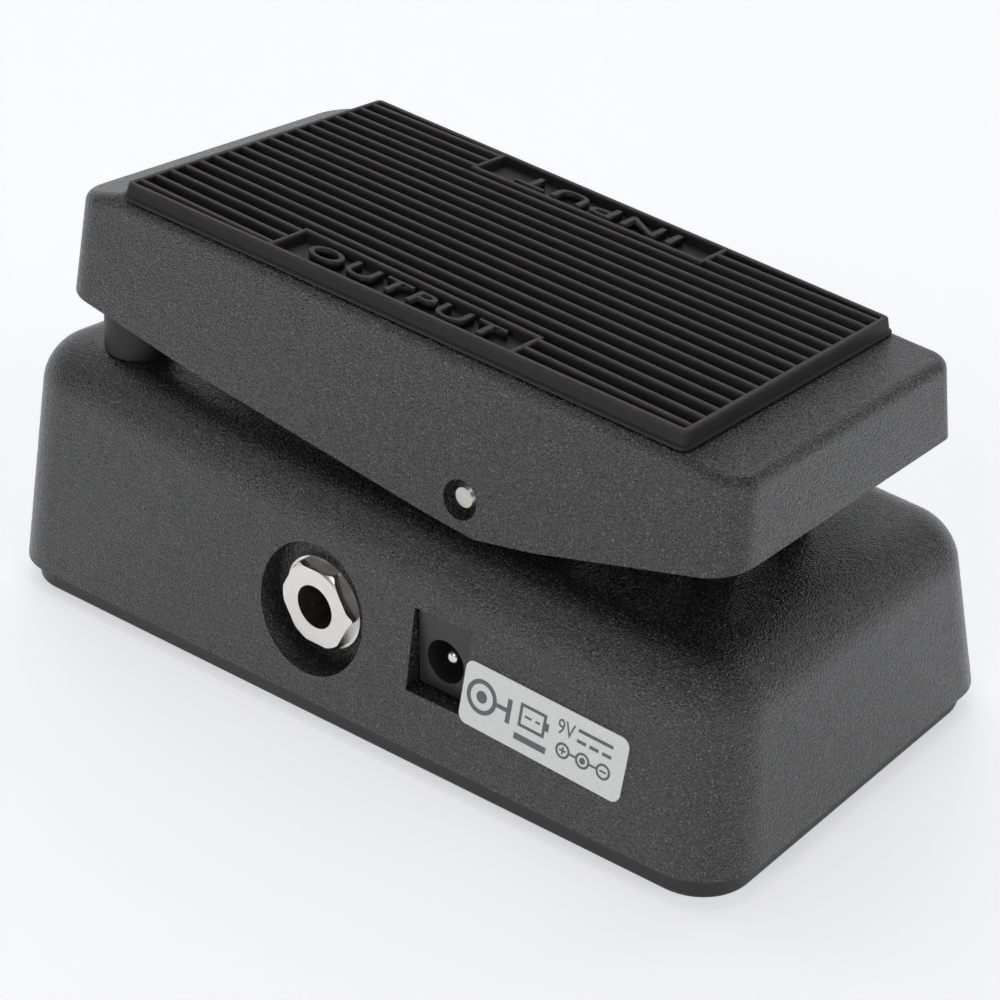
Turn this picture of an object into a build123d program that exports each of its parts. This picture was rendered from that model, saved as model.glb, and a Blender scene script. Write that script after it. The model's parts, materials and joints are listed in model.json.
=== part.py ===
from build123d import *
import os
from math import cos, pi, radians, sin, tan

os.makedirs("parts", exist_ok=True)

# Compact rocker pedal. Millimetres, +X to the player's right, +Y towards the toe, +Z up,
# origin at the middle of the footprint on the floor. The treadle rests toe down.

# ---- driving dimensions: base ----
SOLE_HALF_LENGTH = 65.0
SOLE_HALF_WIDTH = 33.98  # at mid length
SOLE_HEEL_CORNER = 7.5
SOLE_TOE_CORNER = 8.5
SOLE_HEIGHT = 3.8
PLATE_THICKNESS = 1.5
PLATE_INSET = 1.6
TAPER = 0.0268  # the walls spread towards the toe, mm per mm
OVERHANG = 1.55  # casting beyond the sole
DRAFT = tan(radians(9.6))  # side walls
HEEL_WALL_DRAFT = tan(radians(8.0))
TOE_WALL_DRAFT = tan(radians(4.0))
TOP_SLOPE = 4.48  # degrees, the top face rises towards the toe
TOP_HEIGHT = 34.5  # top face above the floor at mid length
BASE_HEEL_CORNER = 9.0
BASE_TOE_CORNER = 10.0
BASE_EDGE = 8.0
WALL = 2.6
ROOF = 3.0
BLOCK_TOP = 46.0

# ---- driving dimensions: treadle ----
PIVOT_Y = -19.6
PIVOT_Z = 39.1
TREADLE_TILT = 5.45  # degrees, toe up, at rest
TRAVEL = 13.5  # degrees, from toe down to heel down
STOP_GAP = 0.3
TREADLE_DEPTH = 18.4  # pivot axis to top face
TREADLE_HEEL = -41.7
TREADLE_TOE = 76.5
TREADLE_HALF_HEEL = 26.2
TREADLE_HALF_TOE = 29.35
TREADLE_HEEL_CORNER = 3.6
TREADLE_TOE_CORNER = 6.0
SIDE_DRAFT = 0.132
HEEL_DRAFT = 0.174
TOE_DRAFT = 0.05
TOE_SLOPE_FROM = 67.0  # the top face falls away beyond the pad
TOE_SLOPE_DROP = 2.5
# lower edge of the treadle's sides: along the treadle, above the pivot axis
SKIRT_TOE_END = (81.5, 2.5)
SKIRT_LINE = [(50.0, -0.9), (5.0, -4.0), (-3.0, -4.3), (-12.0, -2.2), (-36.0, 5.3), (-41.7, 7.9)]
SKIRT_HEEL_END = (-46.7, 9.3)
SKIRT_CUT = -20.0  # well below the skirt
SKIN = 3.0
PAD_HEEL = -29.8
PAD_TOE = 66.2
PAD_HALF_HEEL = 23.45
PAD_HALF_TOE = 26.3
PAD_HEIGHT = 2.35
PAD_SHEET = 0.9
RIB_PITCH = 2.74
RIB_WIDTH = 1.0
RIB_COUNT = 18
PANEL_FROM = 17.1
PANEL_HEEL = -2.5
PANEL_TOE = 38.5
SHAFT_R = 2.4
RUN_CLEARANCE = 0.05

# ---- driving dimensions: sockets ----
JACK_Y = 2.05
JACK_Z = 17.0
JACK_FACE = 32.6  # front of the hexagon, from the centre plane
JACK_SEAT = 30.9  # the washer lies between the floor and this
JACK_INNER = 22.0  # inner end of the barrel
JACK_WASHER_R = 6.9
JACK_RECESS_R = 9.4
JACK_FLOOR = 30.1
JACK_BORE_R = 3.25
HEX_FLATS = 11.6
HEX_CORNER_R = 6.6
JACK_BARREL_R = 4.7
DC_Y = -20.6
DC_Z = 17.1
DC_FACE = 31.2
DC_BORE_R = 3.15

# ---- driving dimensions: sweep drive ----
ARM = 34.0  # pivot to rack pin, along the treadle
ARM_DROP = -1.0
PIN_R = 1.25
PIN_GAP = 0.35
RACK_Y = 13.6
RACK_HALF_X = 2.5
GEAR_MODULE = 1.0
PINION_TEETH = 10
PINION_R = GEAR_MODULE * PINION_TEETH / 2
BACKLASH = 0.3
PITCH_LINE_Y = 15.1
PINION_Z = 20.0
PINION_Y = PITCH_LINE_Y + PINION_R

# ---- driving dimensions: switch, bumpers, board ----
SWITCH_Y = 44.6
SWITCH_TOP = 9.7  # cap above the top face
TOE_BUMPER_X = 21.1
TOE_BUMPER_Y = 48.6
TOE_BUMPER_R = 5.3
TOE_BUMPER_HEIGHT = 7.5
HEEL_BUMPER_X = 8.5
HEEL_BUMPER_Y = -46.7
HEEL_BUMPER_R = 2.6
HEEL_BUMPER_HEIGHT = 2.0
BOARD_Z = 6.0
BOARD_TOP = 7.6

SIDES = {"output": -1, "input": 1}
BOSS_POINTS = [(28.3, -53.0), (-28.3, -53.0), (30.0, 54.0), (-30.0, 54.0)]

treadle_plane = Plane(
    origin=(0, PIVOT_Y, PIVOT_Z),
    x_dir=(1, 0, 0),
    z_dir=(0, -sin(radians(TREADLE_TILT)), cos(radians(TREADLE_TILT))),
)


def top_plane(x=0.0, y=0.0):
    """Plane on the sloping top of the base above (x, y)."""
    height = TOP_HEIGHT + y * tan(radians(TOP_SLOPE))
    normal = (0, -sin(radians(TOP_SLOPE)), cos(radians(TOP_SLOPE)))
    return Plane(origin=(x, y, height), x_dir=(1, 0, 0), z_dir=normal)


def side_plane(x, y, z, side=1):
    """Plane facing out of one side, local x towards the toe on the right side."""
    return Plane(origin=(x, y, z), x_dir=(0, side, 0), z_dir=(side, 0, 0))


def treadle_side_plane(x):
    """Plane across the treadle: local x towards its toe, local y up, origin on the pivot axis."""
    tilt = radians(TREADLE_TILT)
    origin = (x, PIVOT_Y, PIVOT_Z)
    return Plane(origin=origin, x_dir=(0, cos(tilt), sin(tilt)), z_dir=(1, 0, 0))


def save(builder, name):
    builder.part.label = name
    export_step(builder.part, f"parts/{name}.step")


def tapered_outline(plane, heel, toe, half_heel, half_toe, heel_corner, toe_corner):
    """Symmetric outline, narrow at the heel, with rounded corners."""
    with BuildSketch(plane) as outline:
        with BuildLine():
            Polyline(
                (-half_heel, heel), (half_heel, heel), (half_toe, toe), (-half_toe, toe), close=True
            )
        make_face()
        fillet(outline.vertices().group_by(Axis.Y)[0], heel_corner)
        fillet(outline.vertices().group_by(Axis.Y)[-1], toe_corner)
    return outline.sketch


def base_section(z, inset, heel_corner, toe_corner):
    """Section of the drafted base at height z, inset from its outer face."""
    rise = z - SOLE_HEIGHT
    reach = SOLE_HALF_LENGTH + OVERHANG - inset
    heel = HEEL_WALL_DRAFT * rise - reach
    toe = reach - TOE_WALL_DRAFT * rise
    half = SOLE_HALF_WIDTH + OVERHANG - DRAFT * rise - inset
    plane = Plane.XY.offset(z)
    half_heel, half_toe = half + TAPER * heel, half + TAPER * toe
    return tapered_outline(plane, heel, toe, half_heel, half_toe, heel_corner, toe_corner)


def base_block(inset, drop):
    """Drafted block under the sloping top, inset and lowered, with its top edges rounded."""
    heel_corner, toe_corner = BASE_HEEL_CORNER - inset, BASE_TOE_CORNER - inset
    low = base_section(SOLE_HEIGHT, inset, heel_corner, toe_corner)
    high = base_section(BLOCK_TOP, inset, heel_corner * 0.95, toe_corner * 0.95)
    with BuildPart() as block:
        loft(sections=[low, high], ruled=True)
        split(bisect_by=top_plane().offset(-drop), keep=Keep.BOTTOM)
        fillet(block.faces().sort_by(Axis.Z)[-1].edges(), BASE_EDGE - inset)
    return block.part


def tube_along_x(x_from, x_to, y, z, outer, inner=0.0):
    """Round bar or tube with its axis along X, as its own part."""
    with BuildPart() as tube:
        with BuildSketch(side_plane(x_from, y, z)):
            Circle(outer)
            if inner:
                Circle(inner, mode=Mode.SUBTRACT)
        extrude(amount=x_to - x_from)
    return tube.part


def block_between(low, high):
    """Box from its lowest to its highest corner, as its own part."""
    with BuildPart() as block:
        with BuildSketch(Plane.XY.offset(low[2])):
            with Locations(((low[0] + high[0]) / 2, (low[1] + high[1]) / 2)):
                Rectangle(high[0] - low[0], high[1] - low[1])
        extrude(amount=high[2] - low[2])
    return block.part


def hex_along_x(x_from, x_to, y, z, across_flats, bore):
    """Hexagonal nut with its axis along X and flats above and below."""
    with BuildPart() as nut:
        with BuildSketch(side_plane(x_from, y, z)):
            RegularPolygon(across_flats / 2, 6, major_radius=False, rotation=0)
            Circle(bore, mode=Mode.SUBTRACT)
        extrude(amount=x_to - x_from)
    return nut.part


# ================= base =================

outer_block = base_block(0, 0)
hollow_block = base_block(WALL, ROOF)

# thickened places inside the walls, trimmed to the outer shape
with BuildPart() as thickening:
    for side in SIDES.values():
        add(tube_along_x(side * 27.6, side * 40.0, JACK_Y, JACK_Z, JACK_RECESS_R + 2.2))
    add(block_between((-40.0, DC_Y - 6.6, 10.4), (-28.0, DC_Y + 6.6, 25.2)))
    for x, y in BOSS_POINTS:
        with BuildSketch(Plane.XY.offset(SOLE_HEIGHT)):
            with Locations((x, y)):
                Circle(3.2)
        extrude(amount=40)
    add(block_between((4.6, 17.0, 31.0), (16.0, 31.0, 40.0)))
    add(outer_block, mode=Mode.INTERSECT)

with BuildPart() as base_casting:
    add(outer_block)
    add(hollow_block, mode=Mode.SUBTRACT)
    add(thickening.part)
    for side in (-1, 1):  # pivot lugs
        with BuildSketch(side_plane(side * 16.0, 0, 0)):
            with BuildLine():
                Polyline(
                    (PIVOT_Y - 7.5, 31.6),
                    (PIVOT_Y + 7.5, 31.6),
                    (PIVOT_Y + 5.2, PIVOT_Z),
                    (PIVOT_Y - 5.2, PIVOT_Z),
                    close=True,
                )
            make_face()
            with Locations((PIVOT_Y, PIVOT_Z)):
                Circle(5.2)
        extrude(amount=3.0, both=True)
    with BuildSketch(side_plane(-20.0, PIVOT_Y, PIVOT_Z)):
        Circle(3.5)
    extrude(amount=40.0, mode=Mode.SUBTRACT)
    with BuildSketch(side_plane(16.0, PIVOT_Y, PIVOT_Z)):  # hole for the friction screw
        with Locations((-4.0, 0)):
            Rectangle(4.0, 3.0)
    extrude(amount=1.5, both=True, mode=Mode.SUBTRACT)
    for side in SIDES.values():
        add(tube_along_x(side * JACK_FLOOR, side * 40, JACK_Y, JACK_Z, JACK_RECESS_R),
            mode=Mode.SUBTRACT)
        add(tube_along_x(side * 26, side * 40, JACK_Y, JACK_Z, JACK_BARREL_R), mode=Mode.SUBTRACT)
    with BuildSketch(side_plane(-26.0, DC_Y, DC_Z + 0.7, -1)):
        Rectangle(9.7, 11.8)
    extrude(amount=20.0, mode=Mode.SUBTRACT)
    with BuildSketch(Plane.XY.offset(28.0)):  # slot for the gear rack
        with Locations((0, RACK_Y)):
            Rectangle(2 * RACK_HALF_X + 1.2, 6.4)
    extrude(amount=14.0, mode=Mode.SUBTRACT)
    with BuildSketch(top_plane(0, SWITCH_Y).offset(-8)):
        Circle(6.0)
    extrude(amount=20.0, mode=Mode.SUBTRACT)
    with BuildSketch(Plane.XY.offset(SOLE_HEIGHT)):
        with Locations(*BOSS_POINTS):
            Circle(1.45)
    extrude(amount=10.0, mode=Mode.SUBTRACT)
    with BuildSketch(Plane.XY.offset(26.0)):
        with Locations((10.5, 21.0), (10.5, 27.5)):
            Circle(1.2)
    extrude(amount=7.5, mode=Mode.SUBTRACT)
save(base_casting, "base_casting")


def sole_section(z, inset):
    """Section of the sole at height z, inset from its outer face."""
    reach = SOLE_HALF_LENGTH - inset
    half = SOLE_HALF_WIDTH - inset
    spread = TAPER * reach
    heel_corner, toe_corner = SOLE_HEEL_CORNER - inset, SOLE_TOE_CORNER - inset
    plane = Plane.XY.offset(z)
    return tapered_outline(plane, -reach, reach, half - spread, half + spread, heel_corner, toe_corner)


plate_z = SOLE_HEIGHT - PLATE_THICKNESS
with BuildPart() as rubber_sole:
    add(sole_section(0, 0))
    extrude(amount=SOLE_HEIGHT)
    fillet(rubber_sole.faces().sort_by(Axis.Z)[0].edges(), 0.6)
    add(sole_section(plate_z, PLATE_INSET))
    extrude(amount=PLATE_THICKNESS, mode=Mode.SUBTRACT)
    with BuildSketch(Plane.XY):
        with Locations(*BOSS_POINTS):
            Circle(3.6)
    extrude(amount=plate_z, mode=Mode.SUBTRACT)
save(rubber_sole, "rubber_sole")

with BuildPart() as bottom_plate:
    add(sole_section(plate_z, PLATE_INSET))
    extrude(amount=PLATE_THICKNESS)
    with BuildSketch(Plane.XY.offset(plate_z)):
        with Locations(*BOSS_POINTS):
            Circle(1.7)
    extrude(amount=PLATE_THICKNESS, mode=Mode.SUBTRACT)
save(bottom_plate, "bottom_plate")

with BuildPart() as plate_screws:
    with BuildSketch(Plane.XY.offset(plate_z - 1.3)):
        with Locations(*BOSS_POINTS):
            Circle(2.8)
    extrude(amount=1.3)
    with BuildSketch(Plane.XY.offset(plate_z)):
        with Locations(*BOSS_POINTS):
            Circle(1.45)
    extrude(amount=9.0)
    with BuildSketch(Plane.XY.offset(plate_z - 1.3)):  # cross recess
        with Locations(*BOSS_POINTS):
            Rectangle(3.0, 0.7)
            Rectangle(0.7, 3.0)
    extrude(amount=0.9, mode=Mode.SUBTRACT)
save(plate_screws, "plate_screws")

with BuildPart() as toe_bumpers:
    for side in (-1, 1):
        with BuildSketch(top_plane(side * TOE_BUMPER_X, TOE_BUMPER_Y)):
            Circle(TOE_BUMPER_R)
        extrude(amount=TOE_BUMPER_HEIGHT, taper=0.8)
    fillet(toe_bumpers.edges().filter_by(GeomType.CIRCLE).group_by(Axis.Z)[-1], 0.6)
save(toe_bumpers, "toe_bumpers")

with BuildPart() as heel_bumpers:
    for side in (-1, 1):
        with BuildSketch(top_plane(side * HEEL_BUMPER_X, HEEL_BUMPER_Y)):
            Circle(HEEL_BUMPER_R)
        extrude(amount=HEEL_BUMPER_HEIGHT)
    fillet(heel_bumpers.edges().filter_by(GeomType.CIRCLE).group_by(Axis.Z)[-1], 0.6)
save(heel_bumpers, "heel_bumpers")

with BuildPart() as pivot_bushes:
    for side in (-1, 1):
        inner = SHAFT_R + RUN_CLEARANCE
        add(tube_along_x(side * 13.0, side * 19.0, PIVOT_Y, PIVOT_Z, 3.5, inner))
        add(tube_along_x(side * 12.2, side * 13.0, PIVOT_Y, PIVOT_Z, 4.6, inner))
save(pivot_bushes, "pivot_bushes")

with BuildPart() as friction_screw:
    with BuildSketch(Plane(origin=(16.0, PIVOT_Y - 3.5, PIVOT_Z), z_dir=(0, -1, 0))):
        Circle(1.45)
    extrude(amount=2.6)
    with BuildSketch(Plane(origin=(16.0, PIVOT_Y - 6.1, PIVOT_Z), z_dir=(0, 1, 0))):
        RegularPolygon(0.75, 6)
    extrude(amount=1.2, mode=Mode.SUBTRACT)
save(friction_screw, "friction_screw")

# ================= signal jacks =================

for name, side in SIDES.items():
    low_x, high_x = sorted((side * 11.0, side * 27.6))
    with BuildPart() as jack_housing:
        add(block_between((low_x, JACK_Y - 8.0, BOARD_TOP), (high_x, JACK_Y + 8.0, 24.4)))
        fillet(jack_housing.edges().filter_by(Axis.X), 1.0)
        add(tube_along_x(side * 10, side * 28, JACK_Y, JACK_Z, 3.9), mode=Mode.SUBTRACT)
        add(tube_along_x(side * JACK_INNER, side * 28, JACK_Y, JACK_Z, JACK_BARREL_R),
            mode=Mode.SUBTRACT)
        for offset in (-4.6, 4.6):  # windows for the contact springs
            with BuildSketch(Plane.XY.offset(JACK_Z + offset)):
                with Locations((side * 14.5, JACK_Y)):
                    Rectangle(9.0, 3.4)
            extrude(amount=1.2, both=True, mode=Mode.SUBTRACT)
    save(jack_housing, f"{name}_jack_housing")

    with BuildPart() as jack_washer:
        add(tube_along_x(
            side * JACK_FLOOR, side * JACK_SEAT, JACK_Y, JACK_Z, JACK_WASHER_R, JACK_BARREL_R
        ))
    save(jack_washer, f"{name}_jack_washer")

    front = 0 if side < 0 else -1
    with BuildPart() as crown:  # the hexagon's corners are turned down to this
        add(tube_along_x(side * JACK_INNER, side * JACK_FACE, JACK_Y, JACK_Z, HEX_CORNER_R))
        chamfer(crown.edges().filter_by(GeomType.CIRCLE).sort_by(Axis.X)[front], 0.5)

    with BuildPart() as jack_ferrule:
        add(tube_along_x(
            side * JACK_INNER, side * JACK_SEAT, JACK_Y, JACK_Z, JACK_BARREL_R, JACK_BORE_R
        ))
        add(hex_along_x(side * JACK_SEAT, side * JACK_FACE, JACK_Y, JACK_Z, HEX_FLATS, JACK_BORE_R))
        add(crown.part, mode=Mode.INTERSECT)
        rims = jack_ferrule.edges().filter_by(GeomType.CIRCLE).group_by(Axis.X)[front]
        chamfer(rims.sort_by(lambda rim: rim.length)[0], 0.25)
    save(jack_ferrule, f"{name}_jack_ferrule")

    with BuildPart() as jack_contacts:
        for offset in (-4.6, 4.6):
            sign = 1 if offset > 0 else -1
            with BuildSketch(Plane.XZ.offset(-JACK_Y - 1.3)):
                with BuildLine():
                    Polyline(
                        (side * 18.5, JACK_Z + offset + 0.2 * sign),
                        (side * 13.6, JACK_Z + offset + 0.2 * sign),
                        (side * 12.6, JACK_Z + offset - 0.6 * sign),
                        (side * 11.4, JACK_Z + offset + 0.2 * sign),
                        (side * 11.4, JACK_Z + offset + 0.6 * sign),
                        (side * 12.6, JACK_Z + offset - 0.2 * sign),
                        (side * 13.6, JACK_Z + offset + 0.6 * sign),
                        (side * 18.5, JACK_Z + offset + 0.6 * sign),
                        close=True,
                    )
                make_face()
            extrude(amount=2.6)
    save(jack_contacts, f"{name}_jack_contacts")

# ================= power socket and label =================

with BuildPart() as dc_socket_housing:
    add(block_between((-DC_FACE, DC_Y - 4.6, 12.3), (-17.5, DC_Y + 4.6, 23.4)))
    fillet(dc_socket_housing.edges().filter_by(Axis.X), 0.4)
    add(tube_along_x(-DC_FACE, -20.0, DC_Y, DC_Z, DC_BORE_R), mode=Mode.SUBTRACT)
save(dc_socket_housing, "dc_socket_housing")

with BuildPart() as dc_centre_pin:
    add(tube_along_x(-20.0, -DC_FACE + 1.0, DC_Y, DC_Z, 1.05))
    fillet(dc_centre_pin.edges().sort_by(Axis.X)[0], 0.7)
save(dc_centre_pin, "dc_centre_pin")

with BuildPart() as dc_socket_terminals:
    for x, y in ((-18.6, 0.0), (-23.6, 0.0), (-21.0, 3.4)):
        add(block_between((x - 0.9, DC_Y + y - 0.4, BOARD_TOP), (x + 0.9, DC_Y + y + 0.4, 12.3)))
save(dc_socket_terminals, "dc_socket_terminals")

LABEL_Y = -38.0
LABEL_Z = 15.1
LABEL_LEAN = 3.0
wall_half = SOLE_HALF_WIDTH + OVERHANG + TAPER * LABEL_Y - DRAFT * (LABEL_Z - SOLE_HEIGHT)
label_plane = Plane(
    origin=(-wall_half, LABEL_Y, LABEL_Z), x_dir=(TAPER, -1, 0), z_dir=(-1, -TAPER, DRAFT)
)
with BuildPart() as rating_label:
    with BuildSketch(label_plane):
        RectangleRounded(25.9, 9.0, 1.3, rotation=-LABEL_LEAN)
    extrude(amount=0.15)
save(rating_label, "rating_label")

# ================= sweep drive =================


def rack_profile():
    """Closed outline of the toothed part of the rack, in Y and Z."""
    tip, root = PITCH_LINE_Y + GEAR_MODULE, PITCH_LINE_Y - 1.25 * GEAR_MODULE
    pitch = pi * GEAR_MODULE
    half = pitch / 4 - BACKLASH / 2
    lean = tan(radians(20))
    points = [(RACK_Y - 2.5, 8.8), (root, 8.8)]
    for index in range(-4, 1):
        z = PINION_Z + (index + 0.5) * pitch
        points += [
            (root, z - half - 1.25 * lean),
            (tip, z - half + lean),
            (tip, z + half - lean),
            (root, z + half + 1.25 * lean),
        ]
    points += [(root, 39.0), (RACK_Y - 2.5, 39.0)]
    return points


tilt = radians(TREADLE_TILT)
pin_z = PIVOT_Z + ARM * sin(tilt) + ARM_DROP * cos(tilt)
with BuildPart() as gear_rack:
    with BuildSketch(side_plane(0, 0, 0)):
        with BuildLine():
            Polyline(*rack_profile(), close=True)
        make_face()
        with Locations((RACK_Y, pin_z)):
            RectangleRounded(9.4, 7.4, 1.6)
            SlotOverall(5.0, 2 * (PIN_R + PIN_GAP), mode=Mode.SUBTRACT)
    extrude(amount=RACK_HALF_X, both=True)
save(gear_rack, "gear_rack")

with BuildPart() as rack_guide:
    add(block_between((-4.4, 9.3, 12.0), (4.6, 13.4, 29.0)))
    add(block_between((-2.58, RACK_Y - 2.57, 11.0), (2.58, 14.0, 30.0)), mode=Mode.SUBTRACT)
save(rack_guide, "rack_guide")

with BuildPart() as pinion_gear:
    with BuildSketch(side_plane(-RACK_HALF_X, PINION_Y, PINION_Z)):
        Circle(PINION_R - 1.25)
        half = pi / 4 - BACKLASH / 2
        with PolarLocations(0, PINION_TEETH, start_angle=180):
            with BuildLine():
                Polyline(
                    (3.2, -half * 1.35),
                    (PINION_R, -half),
                    (PINION_R + 0.9, -half * 0.45),
                    (PINION_R + 0.9, half * 0.45),
                    (PINION_R, half),
                    (3.2, half * 1.35),
                    close=True,
                )
            make_face()
        Circle(2.0, mode=Mode.SUBTRACT)
    extrude(amount=2 * RACK_HALF_X)
save(pinion_gear, "pinion_gear")

with BuildPart() as pot_shaft:
    add(tube_along_x(-2.9, 11.5, PINION_Y, PINION_Z, 2.0))
    chamfer(pot_shaft.edges().sort_by(Axis.X)[0], 0.4)
save(pot_shaft, "pot_shaft")

with BuildPart() as pot_body:
    add(tube_along_x(7.0, 14.0, PINION_Y, PINION_Z, 8.0))
    fillet(pot_body.edges().sort_by(Axis.X)[-1], 0.8)
    add(tube_along_x(2.8, 7.0, PINION_Y, PINION_Z, 3.5))
    bore = 2.0 + RUN_CLEARANCE
    add(tube_along_x(2.0, 12.0, PINION_Y, PINION_Z, bore), mode=Mode.SUBTRACT)
    for offset in (-4.5, 0.0, 4.5):
        low = (9.0, PINION_Y + offset - 0.8, BOARD_TOP)
        add(block_between(low, (9.8, PINION_Y + offset + 0.8, 14.0)))
save(pot_body, "pot_body")

with BuildPart() as pot_nut:
    add(hex_along_x(2.8, 4.6, PINION_Y, PINION_Z, 10.0, 3.5))
save(pot_nut, "pot_nut")

with BuildPart() as pot_bracket:
    add(block_between((4.6, 9.3, 11.0), (5.8, 30.0, 31.0)))
    add(block_between((4.6, 17.5, 29.8), (15.6, 30.0, 31.0)))
    fillet(pot_bracket.edges().filter_by(Axis.Y).group_by(Axis.Z)[-1].sort_by(Axis.X)[0], 1.0)
    add(tube_along_x(4.0, 7.0, PINION_Y, PINION_Z, 3.5), mode=Mode.SUBTRACT)
    with BuildSketch(Plane.XY.offset(29.0)):
        with Locations((10.5, 21.0), (10.5, 27.5)):
            Circle(1.4)
    extrude(amount=3.0, mode=Mode.SUBTRACT)
save(pot_bracket, "pot_bracket")

with BuildPart() as bracket_screws:
    with BuildSketch(Plane.XY.offset(28.5)):
        with Locations((10.5, 21.0), (10.5, 27.5)):
            Circle(2.4)
    extrude(amount=1.3)
    with BuildSketch(Plane.XY.offset(29.8)):
        with Locations((10.5, 21.0), (10.5, 27.5)):
            Circle(1.2)
    extrude(amount=3.6)
save(bracket_screws, "bracket_screws")

# ================= footswitch =================

switch_plane = top_plane(0, SWITCH_Y)

with BuildPart() as footswitch_housing:
    with BuildSketch(switch_plane.offset(-21)):
        RectangleRounded(16.4, 16.4, 1.0)
    extrude(amount=18.0)
    with BuildSketch(switch_plane.offset(-9.2)):
        Circle(3.1)
    extrude(amount=8.0, mode=Mode.SUBTRACT)
save(footswitch_housing, "footswitch_housing")

with BuildPart() as footswitch_terminals:
    with BuildSketch(switch_plane.offset(-24.5)):
        with GridLocations(5.2, 5.2, 3, 3):
            Rectangle(2.0, 0.6)
    extrude(amount=3.5)
save(footswitch_terminals, "footswitch_terminals")

with BuildPart() as footswitch_bush:
    with BuildSketch(switch_plane.offset(-3)):
        Circle(5.9)
        Circle(2.75 + RUN_CLEARANCE, mode=Mode.SUBTRACT)
    extrude(amount=7.0)
save(footswitch_bush, "footswitch_bush")

with BuildPart() as footswitch_washer:
    with BuildSketch(switch_plane):
        Circle(8.6)
        Circle(5.9, mode=Mode.SUBTRACT)
    extrude(amount=0.8)
save(footswitch_washer, "footswitch_washer")

with BuildPart() as footswitch_nut:
    with BuildSketch(switch_plane.offset(0.8)):
        RegularPolygon(7.0, 6, major_radius=False)
        Circle(5.9, mode=Mode.SUBTRACT)
    extrude(amount=2.2)
save(footswitch_nut, "footswitch_nut")

with BuildPart() as footswitch_plunger:
    with BuildSketch(switch_plane.offset(-6)):
        Circle(2.75)
    extrude(amount=14.2)
save(footswitch_plunger, "footswitch_plunger")

with BuildPart() as footswitch_cap:
    with BuildSketch(switch_plane.offset(6.8)):
        Circle(5.4)
    extrude(amount=SWITCH_TOP - 6.8)
    fillet(footswitch_cap.edges().group_by(Axis.Z)[-1], 0.7)
    with BuildSketch(switch_plane.offset(6.8)):
        Circle(2.75)
    extrude(amount=1.4, mode=Mode.SUBTRACT)
save(footswitch_cap, "footswitch_cap")

# ================= circuit and battery =================

with BuildPart() as circuit_board:
    add(block_between((-25.0, -28.0, BOARD_Z), (25.0, 58.0, BOARD_TOP)))
    fillet(circuit_board.edges().filter_by(Axis.Z), 1.5)
save(circuit_board, "circuit_board")

with BuildPart() as board_spacers:
    with BuildSketch(Plane.XY.offset(SOLE_HEIGHT)):
        with Locations((20, -24), (-20, -24), (20, 54), (-20, 54)):
            Circle(2.6)
    extrude(amount=BOARD_Z - SOLE_HEIGHT)
save(board_spacers, "board_spacers")


def stand_on_board(points, shape, height):
    """Components of one shape standing on the board at the given points."""
    with BuildPart() as group:
        with BuildSketch(Plane.XY.offset(BOARD_TOP)):
            with Locations(*points):
                shape()
        extrude(amount=height)
        fillet(group.faces().group_by(Axis.Z)[-1].edges(), 0.4)
    return group


inductor = stand_on_board([(-13.0, 23.0)], lambda: Circle(7.0), 9.0)
save(inductor, "inductor")
electrolytics = stand_on_board([(-20.0, 38.0), (-13.0, 38.0), (-20.0, 46.0)], lambda: Circle(2.5), 8.0)
save(electrolytics, "electrolytic_capacitors")
film_points = [(20.0, 14.0), (20.0, 19.0), (20.0, 24.0), (20.0, 29.0), (20.0, 34.0)]
film_capacitors = stand_on_board(film_points, lambda: Rectangle(7.2, 2.6), 6.5)
save(film_capacitors, "film_capacitors")
transistors = stand_on_board([(13.0, 36.0), (-4.0, 30.0)], lambda: Rectangle(4.6, 3.4), 4.6)
save(transistors, "transistors")

with BuildPart() as resistors:
    for index in range(5):
        with BuildSketch(side_plane(13.5, 41.0 + 3.2 * index, BOARD_TOP + 1.1)):
            Circle(1.1)
        extrude(amount=6.4)
    for index in range(4):
        with BuildSketch(side_plane(-8.0, -24.0 + 3.2 * index, BOARD_TOP + 1.1)):
            Circle(1.1)
        extrude(amount=6.4)
save(resistors, "resistors")

BATTERY_TOP = SOLE_HEIGHT + 17.3
with BuildPart() as battery_9v:
    add(block_between((-24.2, -58.6, SOLE_HEIGHT), (21.8, -32.4, BATTERY_TOP)))
    fillet(battery_9v.edges().filter_by(Axis.X), 2.0)
    for y, radius in ((-39.2, 2.8), (-51.8, 3.6)):
        add(tube_along_x(21.8, 24.2, y, SOLE_HEIGHT + 8.6, radius))
save(battery_9v, "battery_9v")

with BuildPart() as battery_snap:
    add(block_between((22.0, -57.0, SOLE_HEIGHT + 2.6), (25.0, -34.0, SOLE_HEIGHT + 14.6)))
    fillet(battery_snap.edges().filter_by(Axis.X), 1.5)
    for y, radius in ((-39.2, 2.8), (-51.8, 3.6)):
        add(tube_along_x(21.0, 24.2, y, SOLE_HEIGHT + 8.6, radius), mode=Mode.SUBTRACT)
save(battery_snap, "battery_snap")

# ================= treadle =================


def treadle_section(w, inset, heel_corner, toe_corner):
    """Section of the treadle, parallel to its top face, w above the pivot axis."""
    heel = TREADLE_HEEL + HEEL_DRAFT * w + inset
    toe = TREADLE_TOE - TOE_DRAFT * w - inset
    spread = (TREADLE_HALF_TOE - TREADLE_HALF_HEEL) / (TREADLE_TOE - TREADLE_HEEL)
    middle = TREADLE_HALF_HEEL - spread * TREADLE_HEEL - SIDE_DRAFT * w - inset
    half_heel, half_toe = middle + spread * heel, middle + spread * toe
    return tapered_outline(
        treadle_plane.offset(w), heel, toe, half_heel, half_toe, heel_corner, toe_corner
    )


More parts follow.
